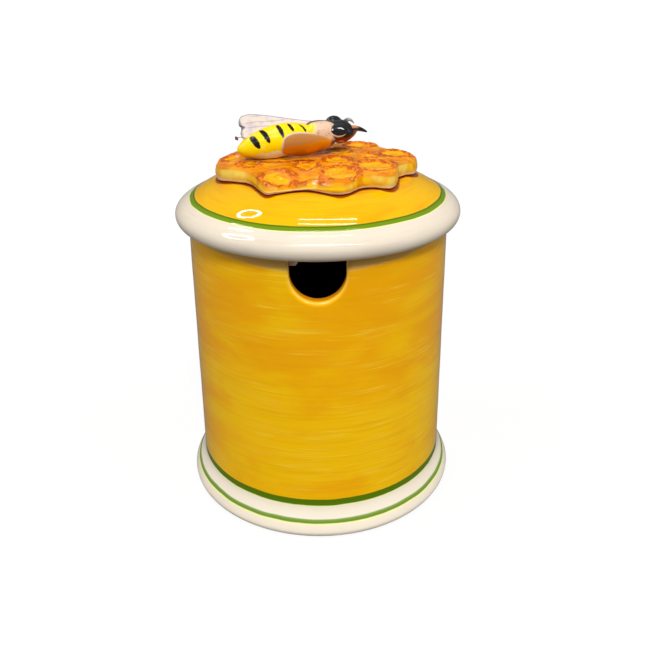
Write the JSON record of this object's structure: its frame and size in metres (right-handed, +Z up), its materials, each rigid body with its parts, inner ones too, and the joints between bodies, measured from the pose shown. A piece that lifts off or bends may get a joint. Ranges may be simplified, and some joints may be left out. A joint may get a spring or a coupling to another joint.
{
  "type": "ceramic honey pot",
  "caption": "Round ceramic honey pot on a flared foot, with a spoon notch in its rim and a lift-off domed lid that carries a sculpted honeycomb and bee.",
  "frame": {"origin": "centre of the foot's underside", "axes": "+Z up, -Y towards the spoon notch, +X to the right of someone facing the notch"},
  "size_m": [0.113, 0.113, 0.1498],
  "materials": {
    "honey_glaze": "glossy brushed honey-yellow glaze with a cream foot and two green bands",
    "sun_glaze": "glossy sun-yellow dome glaze, green band and cream rolled rim",
    "cream_glaze": "cream glaze",
    "comb_glaze": "glossy amber glaze with red-brown strokes on the cell rims",
    "bee_yellow_glaze": "glossy yellow glaze with black brush strokes",
    "bee_blush_glaze": "glossy cream glaze with a pink-brown speckle",
    "bee_head_glaze": "glossy black glaze, red-brown below",
    "bee_eye_glaze": "glossy black glaze with a painted white line",
    "wing_glaze": "glossy pearl-white glaze with grey veins",
    "antenna_glaze": "glossy dark grey glaze",
    "stinger_glaze": "glossy purple-brown glaze"
  },
  "bodies": {
    "pot": {"pot_body": "honey_glaze"},
    "lid": {"lid_shell": "sun_glaze", "lid_locating_ring": "cream_glaze", "honeycomb_slab": "comb_glaze", "bee_abdomen": "bee_yellow_glaze", "bee_thorax": "bee_blush_glaze", "bee_head": "bee_head_glaze", "bee_eye_left": "bee_eye_glaze", "bee_eye_right": "bee_eye_glaze", "bee_wing_left": "wing_glaze", "bee_wing_right": "wing_glaze", "bee_antenna_left": "antenna_glaze", "bee_antenna_right": "antenna_glaze", "bee_stinger": "stinger_glaze"}
  },
  "joints": [
    {"name": "lid_lift", "type": "slide", "parent": "pot", "child": "lid", "axis": [0, 0, 1], "range_m": [0, 0.06]}
  ]
}
